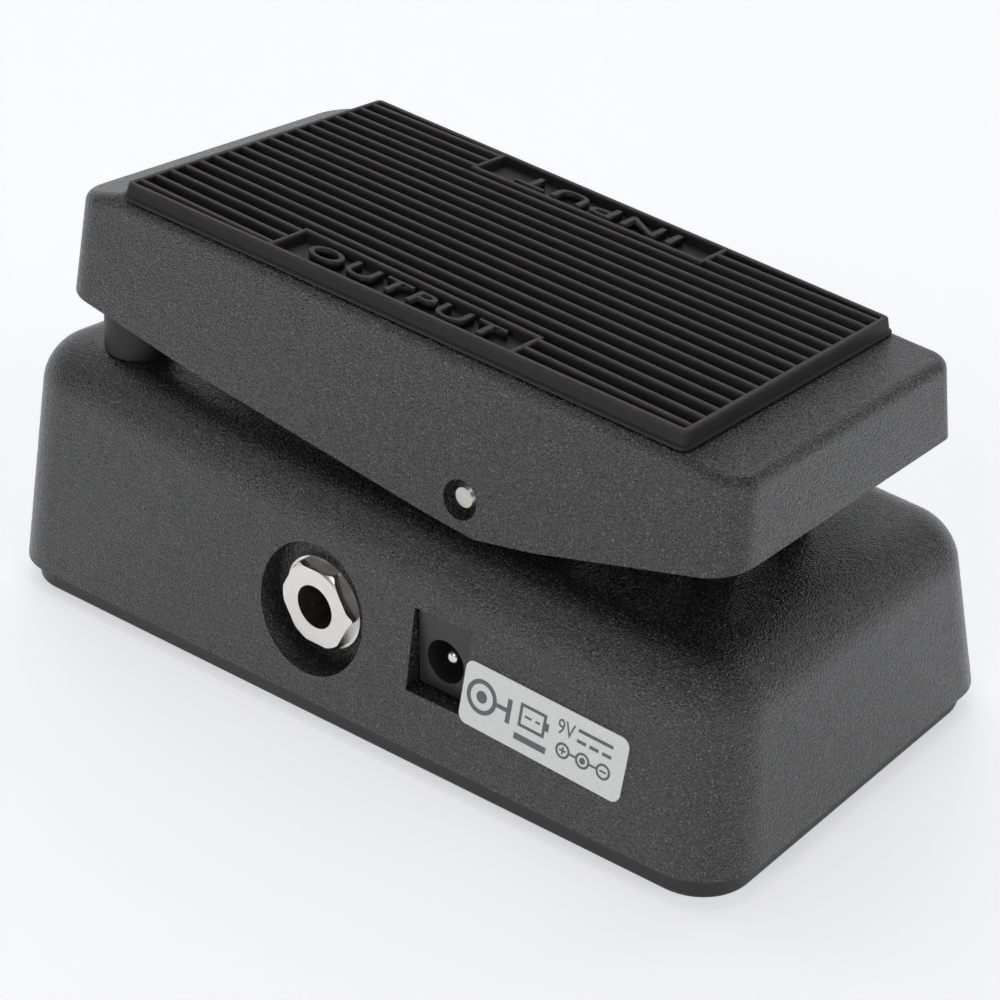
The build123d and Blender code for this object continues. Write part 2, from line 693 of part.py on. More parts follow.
def treadle_block(inset, top, heel_corner, toe_corner):
    low = treadle_section(-8.0, inset, heel_corner, toe_corner)
    high = treadle_section(top, inset, heel_corner * 0.9, toe_corner * 0.9)
    with BuildPart() as block:
        loft(sections=[low, high], ruled=True)
        with BuildSketch(treadle_side_plane(-40)):  # sloping margin at the toe
            with BuildLine():
                Polyline(
                    (TOE_SLOPE_FROM - inset, top),
                    (TREADLE_TOE - inset, top - TOE_SLOPE_DROP),
                    (TREADLE_TOE + 5, top - TOE_SLOPE_DROP),
                    (TREADLE_TOE + 5, top + 5),
                    (TOE_SLOPE_FROM - inset, top + 5),
                    close=True,
                )
            make_face()
        extrude(amount=80, mode=Mode.SUBTRACT)
    return block.part


treadle_outer = treadle_block(0, TREADLE_DEPTH, TREADLE_HEEL_CORNER, TREADLE_TOE_CORNER)
treadle_inner = treadle_block(SKIN, TREADLE_DEPTH - SKIN, 1.5, TREADLE_TOE_CORNER - SKIN)

# everything below the V-shaped skirt line
with BuildPart() as below_skirt:
    with BuildSketch(treadle_side_plane(-40)):
        with BuildLine():
            Polyline(
                SKIRT_TOE_END,
                *SKIRT_LINE,
                SKIRT_HEEL_END,
                (SKIRT_HEEL_END[0], SKIRT_CUT),
                (SKIRT_TOE_END[0], SKIRT_CUT),
                close=True,
            )
        make_face()
    extrude(amount=80)

ROOF_W = TREADLE_DEPTH - SKIN


def landing_on(x, y, height, opening, radius):
    """Landing pad over a stop on the base top: its x, its place along the treadle, its lowest
    point above the pivot axis, and its radius, when the treadle has rocked by the opening."""
    angle = radians(TREADLE_TILT + opening)
    slope = radians(TOP_SLOPE)
    across = y - height * sin(slope) - PIVOT_Y
    up = TOP_HEIGHT + y * tan(slope) + height * cos(slope) - PIVOT_Z
    along = across * cos(angle) + up * sin(angle)
    lowest = up * cos(angle) - across * sin(angle) + STOP_GAP
    return x, along, lowest + radius * abs(sin(angle - slope)), radius


LANDINGS = [
    landing_on(0.0, SWITCH_Y, SWITCH_TOP, 0.0, 4.6),
]
for side in (-1, 1):
    LANDINGS.append(landing_on(side * TOE_BUMPER_X, TOE_BUMPER_Y, TOE_BUMPER_HEIGHT, 0.0, 4.6))
    LANDINGS.append(landing_on(side * HEEL_BUMPER_X, HEEL_BUMPER_Y, HEEL_BUMPER_HEIGHT, TRAVEL, 3.2))

with BuildPart() as treadle_casting:
    add(treadle_outer)
    add(below_skirt.part, mode=Mode.SUBTRACT)
    upper = treadle_casting.faces().filter_by(lambda face: face.normal_at().Z > 0.9)
    fillet(upper.edges(), 1.8)
    add(treadle_inner, mode=Mode.SUBTRACT)
    for x, v, lowest, radius in LANDINGS:
        with BuildSketch(treadle_plane.offset(lowest)):
            with Locations((x, v)):
                Circle(radius)
        extrude(amount=ROOF_W + 1.0 - lowest)
    for side in (-1, 1):  # shaft bosses and rack ears
        with BuildSketch(treadle_side_plane(side * 22.6)):
            Circle(4.6)
        extrude(amount=2.3, both=True)
        with BuildSketch(treadle_side_plane(side * 4.6)):
            with Locations((ARM, ARM_DROP)):
                Circle(3.6)
            with BuildLine():
                Polyline(
                    (ARM - 3.6, ARM_DROP),
                    (ARM + 3.6, ARM_DROP),
                    (ARM + 7.0, ROOF_W + 0.5),
                    (ARM - 7.0, ROOF_W + 0.5),
                    close=True,
                )
            make_face()
        extrude(amount=1.2, both=True)
    for v in (12.0, 52.0):  # stiffening ribs across the roof
        with BuildSketch(treadle_plane.offset(ROOF_W - 4.0)):
            with Locations((0, v)):
                Rectangle(48.0, 2.0)
        extrude(amount=4.5)
    with BuildSketch(treadle_side_plane(-40)):
        Circle(SHAFT_R)
    extrude(amount=80, mode=Mode.SUBTRACT)
    with BuildSketch(treadle_side_plane(-10)):
        with Locations((ARM, ARM_DROP)):
            Circle(PIN_R)
    extrude(amount=20, mode=Mode.SUBTRACT)
    for side in (-1, 1):  # open mouths around the shaft ends and holes for the locking screws
        with BuildSketch(treadle_side_plane(side * 27.0)):
            Circle(2.7)
        extrude(amount=1.2, both=True, mode=Mode.SUBTRACT)
        with BuildSketch(treadle_plane.offset(-6)):
            with Locations((side * 22.0, 0)):
                Circle(1.25)
        extrude(amount=6, mode=Mode.SUBTRACT)
save(treadle_casting, "treadle_casting")

with BuildPart() as pivot_shaft:
    with BuildSketch(treadle_side_plane(-26.5)):
        Circle(SHAFT_R)
    extrude(amount=53.0)
    chamfer(pivot_shaft.edges().filter_by(GeomType.CIRCLE), 1.0)
save(pivot_shaft, "pivot_shaft")

with BuildPart() as thrust_washers:
    for side in (-1, 1):
        add(tube_along_x(side * 19.3, side * 20.3, PIVOT_Y, PIVOT_Z, 4.6, SHAFT_R))
save(thrust_washers, "thrust_washers")

with BuildPart() as shaft_lock_screws:
    for side in (-1, 1):
        with BuildSketch(treadle_plane.offset(-4.5)):
            with Locations((side * 22.0, 0)):
                Circle(1.25)
        extrude(amount=4.5 - SHAFT_R)
save(shaft_lock_screws, "shaft_lock_screws")

with BuildPart() as rack_pin:
    with BuildSketch(treadle_side_plane(-5.8)):
        with Locations((ARM, ARM_DROP)):
            Circle(PIN_R)
    extrude(amount=13.0)
    with BuildSketch(treadle_side_plane(-6.8)):
        with Locations((ARM, ARM_DROP)):
            Circle(2.3)
    extrude(amount=1.0)
save(rack_pin, "rack_pin")

with BuildPart() as rack_pin_clip:
    with BuildSketch(treadle_side_plane(5.8)):
        with Locations((ARM, ARM_DROP)):
            Circle(2.6)
            Circle(PIN_R, mode=Mode.SUBTRACT)
            with Locations((0, -2.0)):
                Rectangle(1.4, 2.4, mode=Mode.SUBTRACT)
    extrude(amount=0.7)
save(rack_pin_clip, "rack_pin_clip")


def pad_outline(w, inset, corner):
    spread = (PAD_HALF_TOE - PAD_HALF_HEEL) / (PAD_TOE - PAD_HEEL)
    heel, toe = PAD_HEEL + inset, PAD_TOE - inset
    half_heel = PAD_HALF_HEEL + spread * inset - inset
    half_toe = PAD_HALF_TOE - spread * inset - inset
    return tapered_outline(treadle_plane.offset(w), heel, toe, half_heel, half_toe, corner, corner)


BORDER = 1.7
SHEET_W = TREADLE_DEPTH + PAD_SHEET

with BuildPart() as ribs:
    with BuildSketch(treadle_plane.offset(SHEET_W - 0.1)):
        for index in range(RIB_COUNT):
            x = (index - (RIB_COUNT - 1) / 2) * RIB_PITCH
            with Locations((x, (PAD_HEEL + PAD_TOE) / 2)):
                Rectangle(RIB_WIDTH, PAD_TOE - PAD_HEEL - 2)
    extrude(amount=PAD_HEIGHT - PAD_SHEET + 0.1)
    with BuildSketch(treadle_plane.offset(SHEET_W)):  # plain panels for the lettering
        for side in (-1, 1):
            with Locations((side * (PANEL_FROM + 10.0), (PANEL_HEEL + PANEL_TOE) / 2)):
                Rectangle(20.0, PANEL_TOE - PANEL_HEEL)
    extrude(amount=PAD_HEIGHT, mode=Mode.SUBTRACT)
    with BuildSketch(treadle_plane.offset(SHEET_W - 0.1)):
        for side in (-1, 1):
            for end in (PANEL_HEEL, PANEL_TOE):
                with Locations((side * (PANEL_FROM + 4.0), end)):
                    Rectangle(8.0, 0.9)
            with Locations((side * PANEL_FROM, (PANEL_HEEL + PANEL_TOE) / 2)):
                Rectangle(0.9, PANEL_TOE - PANEL_HEEL)
    extrude(amount=PAD_HEIGHT - PAD_SHEET + 0.1)
    add(pad_outline(SHEET_W - 0.1, BORDER - 0.2, 0.8))
    extrude(amount=PAD_HEIGHT, mode=Mode.INTERSECT)

with BuildPart() as tread_pad:
    add(pad_outline(TREADLE_DEPTH, 0, 1.6))
    extrude(amount=PAD_HEIGHT)
    chamfer(tread_pad.faces().sort_by(Axis.Z)[-1].edges(), 0.5)
    add(pad_outline(SHEET_W, BORDER, 0.6))
    extrude(amount=PAD_HEIGHT, mode=Mode.SUBTRACT)
    add(ribs.part)
save(tread_pad, "tread_pad")
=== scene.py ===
"""Compact rocker pedal: the looks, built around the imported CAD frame. Metres, +Z up."""

import json
import math

import bmesh
import bpy
from mathutils import Matrix, Vector


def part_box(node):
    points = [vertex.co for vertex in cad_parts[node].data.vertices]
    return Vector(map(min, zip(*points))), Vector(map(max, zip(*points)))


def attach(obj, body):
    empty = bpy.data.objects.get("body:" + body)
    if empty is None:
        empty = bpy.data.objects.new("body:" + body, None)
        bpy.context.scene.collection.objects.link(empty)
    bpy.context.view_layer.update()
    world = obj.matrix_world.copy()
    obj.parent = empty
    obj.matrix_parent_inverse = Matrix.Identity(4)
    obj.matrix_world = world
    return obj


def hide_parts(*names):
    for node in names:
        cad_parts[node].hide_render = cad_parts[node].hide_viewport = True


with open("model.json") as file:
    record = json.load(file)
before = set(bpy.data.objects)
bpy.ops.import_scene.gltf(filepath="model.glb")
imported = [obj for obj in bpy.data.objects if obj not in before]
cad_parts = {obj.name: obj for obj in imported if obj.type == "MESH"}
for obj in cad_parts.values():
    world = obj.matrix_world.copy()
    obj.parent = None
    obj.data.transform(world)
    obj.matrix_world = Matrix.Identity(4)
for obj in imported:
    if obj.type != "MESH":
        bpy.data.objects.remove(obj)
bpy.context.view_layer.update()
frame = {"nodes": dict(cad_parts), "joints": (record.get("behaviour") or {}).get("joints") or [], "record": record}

MM = 0.001
NODES = frame["nodes"]
SCENE = bpy.context.scene

# ---- camera ----
CAMERA_AT = Vector((-0.19975, -0.17207, 0.16279))
CAMERA_AZIMUTH = math.radians(-49.789)
CAMERA_ELEVATION = math.radians(28.250)
CAMERA_ROLL = math.radians(0.555)
LENS = 74.31
SENSOR = 36.0

# ---- treadle: its pivot comes from the frame, and its tilt at rest is the CAD model's ----
HINGE = next(j for j in frame["joints"] if j["name"] == "treadle_rock")
PIVOT = Vector((0.0, HINGE["pos_m"][1], HINGE["pos_m"][2]))
TILT = math.radians(5.45)
ALONG = Vector((0.0, math.cos(TILT), math.sin(TILT)))
OUT = Vector((0.0, -math.sin(TILT), math.cos(TILT)))

# ---- tread pad, in the treadle's frame: across, towards the toe, and out of its top ----
TOP = 18.4  # the treadle's top face above the pivot axis
PAD_HEEL = -29.8
PAD_TOE = 66.2
PAD_HALF_HEEL = 23.45
PAD_HALF_TOE = 26.3
SHEET = 0.9  # thickness under the ribs
RIB_TOP = 2.33
RIB_PITCH = 2.74
RIB_COUNT = 18
FIELD_INSET = 1.72  # from the pad's edge to the ribbed field
PANEL_FROM = 17.1
PANEL_HEEL = -2.5
PANEL_TOE = 38.5
RIB_HALF_TOP = 0.41
OVERLAP = 0.2  # ribs and frames run this far into the rim
RIM_OVERLAP = 0.25  # and this far at the rim's tapered sides
FRAME_OVERLAP = 0.3  # a panel's long frames pass its short ones
SHORTEST_RIB = 1.0
SINK = 0.1  # raised shapes start this far inside the sheet

# ---- rating label, on the drafted left wall ----
LABEL_LENGTH = 25.9
LABEL_HEIGHT = 9.0
LABEL_LEAN = math.radians(3.0)
WALL_TAPER = 0.0268
WALL_DRAFT = math.tan(math.radians(9.6))
LABEL_HALF_THICKNESS = 0.075
PRINT_THICKNESS = 0.03
PRINT_SINK = 0.02

# ---- floor, in metres: flat, then a quarter bend, then upright ----
FLOOR_NEAR = -4.0
BEND_FROM = 1.6
BEND_RADIUS = 0.8
BEND_STEPS = 12
FLOOR_TOP = 4.0
FLOOR_HALF_WIDTH = 6.0

# ---- lights: name, azimuth, elevation, distance, side in metres, watts ----
SOFTBOXES = [
    ("overhead", 150, 70, 1.2, 1.0, 2.6),
    ("heel_side", -8, 34, 1.3, 0.6, 2.2),
    ("left_side", -84, 26, 1.3, 0.6, 3.2),
]
LIGHT_AIM = Vector((0, 0, 0.03))


def on_treadle(x, v, w):
    """Point on the treadle from millimetres: across, towards the toe, and out of its top."""
    return PIVOT + Vector((x * MM, 0, 0)) + ALONG * (v * MM) + OUT * (w * MM)


# ================= node helpers =================


class Graph:
    """A material's node tree, with short calls for the nodes used here."""

    def __init__(self, name):
        self.material = bpy.data.materials.new(name)
        self.material.use_nodes = True
        self.tree = self.material.node_tree
        self.shader = self.tree.nodes["Principled BSDF"]
        self.point = self.tree.nodes.new("ShaderNodeTexCoord").outputs["Object"]

    def link(self, a, b):
        self.tree.links.new(a, b)

    def set(self, **values):
        for key, value in values.items():
            self.shader.inputs[key.replace("_", " ")].default_value = value

    def stretched(self, scale):
        node = self.tree.nodes.new("ShaderNodeMapping")
        node.inputs["Scale"].default_value = scale
        self.link(self.point, node.inputs["Vector"])
        return node.outputs["Vector"]

    def noise(self, size_mm, detail=2.0, rough=0.5, vector=None):
        node = self.tree.nodes.new("ShaderNodeTexNoise")
        node.inputs["Scale"].default_value = 1.0 / (size_mm * MM)
        node.inputs["Detail"].default_value = detail
        node.inputs["Roughness"].default_value = rough
        self.link(vector or self.point, node.inputs["Vector"])
        return node.outputs["Fac"]

    def cell_edges(self, size_mm):
        node = self.tree.nodes.new("ShaderNodeTexVoronoi")
        node.feature = "DISTANCE_TO_EDGE"
        node.inputs["Scale"].default_value = 1.0 / (size_mm * MM)
        self.link(self.point, node.inputs["Vector"])
        return node.outputs["Distance"]

    def ramp(self, value, stops):
        node = self.tree.nodes.new("ShaderNodeValToRGB")
        elements = node.color_ramp.elements
        while len(elements) < len(stops):
            elements.new(0.5)
        for element, (at, level) in zip(elements, stops):
            element.position = at
            colour = level if isinstance(level, tuple) else (level, level, level)
            element.color = (*colour, 1.0)
        self.link(value, node.inputs["Fac"])
        return node.outputs["Color"]

    def mapped(self, value, low, high, from_low=0.0, from_high=1.0):
        node = self.tree.nodes.new("ShaderNodeMapRange")
        node.inputs["From Min"].default_value = from_low
        node.inputs["From Max"].default_value = from_high
        node.inputs["To Min"].default_value = low
        node.inputs["To Max"].default_value = high
        self.link(value, node.inputs["Value"])
        return node.outputs["Result"]

    def math(self, operation, a, b):
        node = self.tree.nodes.new("ShaderNodeMath")
        node.operation = operation
        for socket, value in zip(node.inputs, (a, b)):
            if isinstance(value, (int, float)):
                socket.default_value = value
            else:
                self.link(value, socket)
        return node.outputs["Value"]

    def mix(self, factor, a, b):
        node = self.tree.nodes.new("ShaderNodeMix")
        node.data_type = "RGBA"
        # sockets 0, 6 and 7 are the factor and the two colours, and output 2 is the colour
        for index, value in ((0, factor), (6, a), (7, b)):
            socket = node.inputs[index]
            if isinstance(value, tuple):
                socket.default_value = (*value, 1.0)
            elif isinstance(value, (int, float)):
                socket.default_value = value
            else:
                self.link(value, socket)
        return node.outputs[2]

    def bump(self, height, distance_mm, strength=1.0, normal=None):
        node = self.tree.nodes.new("ShaderNodeBump")
        node.inputs["Distance"].default_value = distance_mm * MM
        node.inputs["Strength"].default_value = strength
        self.link(height, node.inputs["Height"])
        if normal is not None:
            self.link(normal, node.inputs["Normal"])
        return node.outputs["Normal"]

    def colour(self, value):
        self.link(value, self.shader.inputs["Base Color"])

    def roughness(self, value):
        self.link(value, self.shader.inputs["Roughness"])

    def normal(self, value):
        self.link(value, self.shader.inputs["Normal"])


# ================= materials =================


def powder_coat():
    """Black textured powder coat: fine glossy grit over a faint orange peel, with light specks painted into the
    colour as glints.
    """
    g = Graph("powder_coat")
    grain = g.noise(0.34, 1.0, 0.5)
    fine = g.noise(0.20, 0.0, 0.5)
    peel = g.noise(1.3, 2.0)
    # painted highlights: tiny light specks mixed into the base colour below stand in for glints off the coat's
    # grit
    painted_glint = g.mapped(g.noise(0.26, 1.0, 0.6), 0.0, 1.0, 0.60, 0.70)
    height = g.math("ADD", g.math("MULTIPLY", grain, 0.6), g.math("MULTIPLY", fine, 0.4))
    g.colour(g.mix(painted_glint, g.ramp(grain, [(0.38, 0.006), (0.64, 0.026)]), (0.150, 0.148, 0.152)))
    g.roughness(g.mapped(fine, 0.16, 0.36))
    g.normal(g.bump(height, 0.30, 1.0, g.bump(peel, 0.05, 1.0)))
    g.set(Specular_IOR_Level=0.8)
    return g.material


def rubber(name, low, high, roughness, grain_mm=0.25, bump_mm=0.02):
    """Moulded rubber: near black, with a faint bloom and a fine grain."""
    g = Graph(name)
    bloom = g.noise(6.0, 4.0, 0.6)
    grain = g.noise(grain_mm, 2.0)
    g.colour(g.ramp(bloom, [(0.3, low), (0.7, high)]))
    g.roughness(g.mapped(g.math("ADD", bloom, grain), roughness - 0.06, roughness + 0.06, 0.6, 1.4))
    g.normal(g.bump(grain, bump_mm))
    return g.material


def tread_rubber():
    """Rubber of the tread: dusty worn rib tops over clean black grooves."""
    g = Graph("pad_rubber")
    bloom = g.noise(4.0, 4.0, 0.6)
    grain = g.noise(0.2, 2.0)
    scuff = g.noise(0.6, 3.0, 0.6, g.stretched((1.0, 0.12, 1.0)))
    split = g.tree.nodes.new("ShaderNodeSeparateXYZ")
    g.link(g.point, split.inputs[0])
    across = g.math("MULTIPLY", split.outputs["Y"], -math.sin(TILT))
    up = g.math("MULTIPLY", split.outputs["Z"], math.cos(TILT))
    height = g.math("ADD", across, up)
    base = on_treadle(0, 0, TOP).dot(OUT)
    top = g.mapped(height, 0.0, 1.0, base + 1.8 * MM, base + 2.3 * MM)
    worn = g.math("MULTIPLY", top, g.mapped(scuff, 0.55, 1.0, 0.35, 0.6))
    clean = g.ramp(bloom, [(0.3, (0.0065, 0.0068, 0.007)), (0.7, (0.0105, 0.0105, 0.0105))])
    g.colour(g.mix(worn, clean, (0.050, 0.041, 0.041)))
    g.roughness(g.mapped(bloom, 0.46, 0.60))
    g.normal(g.bump(grain, 0.02))
    return g.material


def plated(name, colour, roughness, streak=(1.0, 1.0, 0.08), bump_mm=0.004):
    """Plated metal with fine handling scratches and a little haze."""
    g = Graph(name)
    scratch = g.noise(0.16, 3.0, 0.7, g.stretched(streak))
    haze = g.noise(2.2, 3.0)
    dull = tuple(0.82 * c for c in colour)
    g.colour(g.mix(haze, dull, colour))
    g.roughness(g.mapped(g.math("ADD", scratch, haze), roughness * 0.7, roughness * 1.5, 0.6, 1.4))
    g.normal(g.bump(scratch, bump_mm))
    g.set(Metallic=1.0)
    return g.material


def plastic(name, colour, roughness, grain_mm=0.12, bump_mm=0.008, mottle=0.25):
    """Moulded plastic with a fine spark-eroded grain."""
    g = Graph(name)
    grain = g.noise(grain_mm, 2.0)
    slow = g.noise(3.0, 3.0)
    dark = tuple((1 - mottle) * c for c in colour)
    g.colour(g.mix(slow, dark, colour))
    g.roughness(g.mapped(slow, roughness - 0.05, roughness + 0.07))
    g.normal(g.bump(grain, bump_mm))
    return g.material


def printed_paper():
    """White vinyl label, faintly fibrous, with slightly uneven gloss."""
    g = Graph("label_white")
    fibre = g.noise(0.35, 4.0, 0.6)
    slow = g.noise(7.0, 2.0)
    g.colour(g.mix(g.mapped(fibre, 0.0, 1.0, 0.35, 0.65), (0.80, 0.80, 0.79), (0.87, 0.87, 0.86)))
    g.roughness(g.mapped(slow, 0.36, 0.5))
    g.normal(g.bump(fibre, 0.004))
    return g.material


def label_ink():
    """Mid-grey print, a little broken over the vinyl."""
    g = Graph("label_ink")
    speck = g.noise(0.12, 3.0, 0.6)
    g.colour(g.ramp(speck, [(0.35, (0.115, 0.118, 0.12)), (0.65, (0.17, 0.172, 0.175))]))
    g.roughness(g.mapped(speck, 0.4, 0.55))
    return g.material


def circuit_laminate():
    """Green solder mask with copper traces showing through as lighter lines."""
    g = Graph("board_green")
    trace = g.ramp(g.cell_edges(3.1), [(0.05, 1.0), (0.08, 0.0)])
    weave = g.noise(0.3, 2.0)
    g.colour(g.mix(trace, (0.012, 0.075, 0.03), (0.03, 0.17, 0.075)))
    g.roughness(g.mapped(weave, 0.25, 0.4))
    g.normal(g.bump(trace, 0.03))
    return g.material


MATERIALS = {
    "powder_coat": powder_coat(),
    "pad_rubber": tread_rubber(),
    "sole_rubber": rubber("sole_rubber", 0.010, 0.016, 0.42, 0.5, 0.012),
    "bumper_rubber": rubber("bumper_rubber", 0.008, 0.014, 0.5),
    "plate_steel": plated("plate_steel", (0.56, 0.57, 0.58), 0.32, (0.1, 1.0, 1.0)),
    "nickel": plated("nickel", (0.86, 0.84, 0.81), 0.20),
    "screw_steel": plated("screw_steel", (0.62, 0.59, 0.56), 0.24, (0.15, 1.0, 1.0)),
    "spring_bronze": plated("spring_bronze", (0.78, 0.56, 0.30), 0.28),
    "tin": plated("tin", (0.74, 0.75, 0.76), 0.35),
    "nylon": plastic("nylon", (0.70, 0.68, 0.62), 0.42),
    "black_plastic": plastic("black_plastic", (0.030, 0.029, 0.031), 0.36),
    "label_white": printed_paper(),
    "board_green": circuit_laminate(),
    "capacitor_blue": plastic("capacitor_blue", (0.03, 0.07, 0.24), 0.28),
    "film_red": plastic("film_red", (0.36, 0.05, 0.03), 0.3),
    "resistor_tan": plastic("resistor_tan", (0.52, 0.38, 0.22), 0.35),
    "inductor_shell": plastic("inductor_shell", (0.42, 0.05, 0.035), 0.3),
    "battery_jacket": plastic("battery_jacket", (0.05, 0.055, 0.065), 0.3),
}
INK = label_ink()


def finish(obj, slot):
    """Give an object the material of the slot that it takes its finish from."""
    obj.data.materials.clear()
    obj.data.materials.append(MATERIALS[slot])
    return obj


for part in frame["record"]["subparts"]:
    node = NODES[part["node"]]
    for material_slot in node.material_slots:
        material_slot.link = "OBJECT"
        material_slot.material = MATERIALS[part["material_slot"]]

# ================= mesh helpers =================


def mesh_object(name, build, slot, body):
    """Finish a bmesh as an object that rides on a body and takes its look from a slot."""
    mesh = bpy.data.meshes.new(name)
    bmesh.ops.recalc_face_normals(build, faces=build.faces)
    build.to_mesh(mesh)
    build.free()
    obj = bpy.data.objects.new(name, mesh)
    SCENE.collection.objects.link(obj)
    finish(obj, slot)
    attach(obj, body)
    return obj


def add_prism(build, section, place, start, end):
    """Closed bar: a section carried from start to end, placed by a function."""
    rings = [[build.verts.new(place(a, b, at)) for a, b in section] for at in (start, end)]
    count = len(section)
    for i in range(count):
        j = (i + 1) % count
        build.faces.new((rings[0][i], rings[0][j], rings[1][j], rings[1][i]))
    build.faces.new(rings[0])
    build.faces.new(list(reversed(rings[1])))


def text_solid(body, spacing=1.0):
    """Mesh of a line of plain capitals, one unit thick, with its lowest corner at the origin."""
    curve = bpy.data.curves.new("lettering", "FONT")
    curve.body = body
    curve.extrude = 0.5
    curve.resolution_u = 3
    curve.space_character = spacing
    holder = bpy.data.objects.new("lettering", curve)
    SCENE.collection.objects.link(holder)
    bpy.context.view_layer.update()
    mesh = bpy.data.meshes.new_from_object(holder.evaluated_get(bpy.context.evaluated_depsgraph_get()))
    bpy.data.objects.remove(holder)
    build = bmesh.new()
    build.from_mesh(mesh)
    bpy.data.meshes.remove(mesh)
    bmesh.ops.remove_doubles(build, verts=build.verts, dist=1e-5)
    low = [min(v.co[axis] for v in build.verts) for axis in range(3)]
    high = [max(v.co[axis] for v in build.verts) for axis in range(3)]
    for vert in build.verts:
        vert.co = [(vert.co[k] - low[k]) / (high[k] - low[k]) for k in range(3)]
    return build


# ================= tread pad =================


def pad_half_width(v):
    """Half width of the pad at a place along the treadle."""
    share = (v - PAD_HEEL) / (PAD_TOE - PAD_HEEL)
    return PAD_HALF_HEEL + (PAD_HALF_TOE - PAD_HALF_HEEL) * share


def pad_loop(build, inset, up, corner=1.6, steps=5):
    """Ring of vertices round the pad's tapered outline, inset and raised."""
    radius = max(corner - inset, 0.35)
    ring = []
    for side, v_end, along in ((1, PAD_HEEL, -1), (1, PAD_TOE, 1), (-1, PAD_TOE, 1), (-1, PAD_HEEL, -1)):
        v = v_end - along * (inset + radius)
        x = side * (pad_half_width(v_end) - inset - radius)
        if side > 0:
            first = -90 if along < 0 else 0
        else:
            first = 90 if along > 0 else 180
        for step in range(steps + 1):
            angle = math.radians(first + 90 * step / steps)
            ring.append(build.verts.new(on_treadle(
                x + radius * math.cos(angle), v + radius * math.sin(angle), TOP + up
            )))
    return ring


# inset from the pad's edge and height above the treadle's top: foot, lip, steep wall, rim, sheet
PAD_PROFILE = [
    (0.30, 0.02), (0.06, 0.05), (0.0, 0.14), (0.0, 0.36), (0.06, 0.46), (0.16, 0.50), (0.30, 0.52),
    (0.40, 0.62), (0.78, 2.04), (0.84, 2.20), (0.94, 2.31), (1.08, 2.35), (1.44, 2.35), (1.56, 2.30),
    (1.64, 2.16), (FIELD_INSET, SHEET),
]
RIB_SECTION = [(-0.70, SHEET - SINK), (-0.42, 2.05), (-0.35, 2.23), (-0.2, RIB_TOP)]
RIB_SECTION += [(-x, up) for x, up in reversed(RIB_SECTION)]


def add_rib(build, x, v_from, v_to):
    """Rib along the treadle, clipped where the tapered rim crosses it."""
    rate = (PAD_HALF_TOE - PAD_HALF_HEEL) / (PAD_TOE - PAD_HEEL)
    clear = PAD_HEEL + (abs(x) + RIB_HALF_TOP + FIELD_INSET - RIM_OVERLAP - PAD_HALF_HEEL) / rate
    start = max(v_from, clear)
    if v_to - start > SHORTEST_RIB:
        add_prism(build, RIB_SECTION, lambda a, b, at: on_treadle(x + a, at, TOP + b), start, v_to)


def tread_mat():
    """Moulded rubber tread: lip, steep wall and rim round a field of ribs with two plain panels."""
    build = bmesh.new()
    rings = [pad_loop(build, inset, up) for inset, up in PAD_PROFILE]
    for a, b in zip(rings, rings[1:]):
        for i in range(len(a)):
            j = (i + 1) % len(a)
            build.faces.new((a[i], a[j], b[j], b[i]))
    build.faces.new(rings[-1])
    build.faces.new(list(reversed(rings[0])))
    heel = PAD_HEEL + FIELD_INSET - OVERLAP
    toe = PAD_TOE - FIELD_INSET + OVERLAP
    for index in range(RIB_COUNT):
        x = (index - (RIB_COUNT - 1) / 2) * RIB_PITCH
        if abs(x) < PANEL_FROM:
            add_rib(build, x, heel, toe)
        else:
            add_rib(build, x, heel, PANEL_HEEL)
            add_rib(build, x, PANEL_TOE, toe)
    for side in (-1, 1):  # raised frames of the panels
        add_prism(
            build, RIB_SECTION,
            lambda a, b, at: on_treadle(side * PANEL_FROM + a, at, TOP + b),
            PANEL_HEEL - FRAME_OVERLAP, PANEL_TOE + FRAME_OVERLAP,
        )
        for v in (PANEL_HEEL, PANEL_TOE):
            reach = pad_half_width(v) - FIELD_INSET + OVERLAP
            add_prism(
                build, RIB_SECTION,
                lambda a, b, at: on_treadle(side * at, v + a, TOP + b),
                PANEL_FROM, reach,
            )
    mat = mesh_object("tread_mat", build, "pad_rubber", "treadle")
    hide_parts("tread_pad")


def panel_letters(name, body, side, length, height=3.3):
    """Raised word in a panel, its tops towards the middle of the treadle."""
    build = text_solid(body, 1.12)
    middle = (PANEL_HEEL + PANEL_TOE) / 2
    across = (PANEL_FROM + pad_half_width(middle) - FIELD_INSET) / 2 + 0.1
    for vert in build.verts:
        along, rise, up = vert.co
        x = side * (across + height / 2 - rise * height)
        v = middle + side * (along - 0.5) * length
        vert.co = on_treadle(x, v, TOP + SHEET - SINK + up * (RIB_TOP - SINK - SHEET))
    mesh_object(name, build, "pad_rubber", "treadle")


tread_mat()
panel_letters("output_letters", "OUTPUT", -1, 33.0)
panel_letters("input_letters", "INPUT", 1, 28.0)

# ================= label print =================

LABEL_OUT = Vector((-1, -WALL_TAPER, WALL_DRAFT)).normalized()
label_level = Vector((WALL_TAPER, -1, 0)).normalized()
label_rise = LABEL_OUT.cross(label_level)
LABEL_ALONG = label_level * math.cos(LABEL_LEAN) - label_rise * math.sin(LABEL_LEAN)
LABEL_UP = label_rise * math.cos(LABEL_LEAN) + label_level * math.sin(LABEL_LEAN)
label_low, label_high = (Vector(corner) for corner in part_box("rating_label"))
LABEL_CENTRE = (label_low + label_high) / 2 + LABEL_OUT * (LABEL_HALF_THICKNESS * MM)


def on_label(u, d, up):
    """Point on the label from millimetres: from its left end, down from its top, and out."""
    flat = LABEL_ALONG * (u - LABEL_LENGTH / 2) + LABEL_UP * (LABEL_HEIGHT / 2 - d)
    return LABEL_CENTRE + (flat + LABEL_OUT * up) * MM


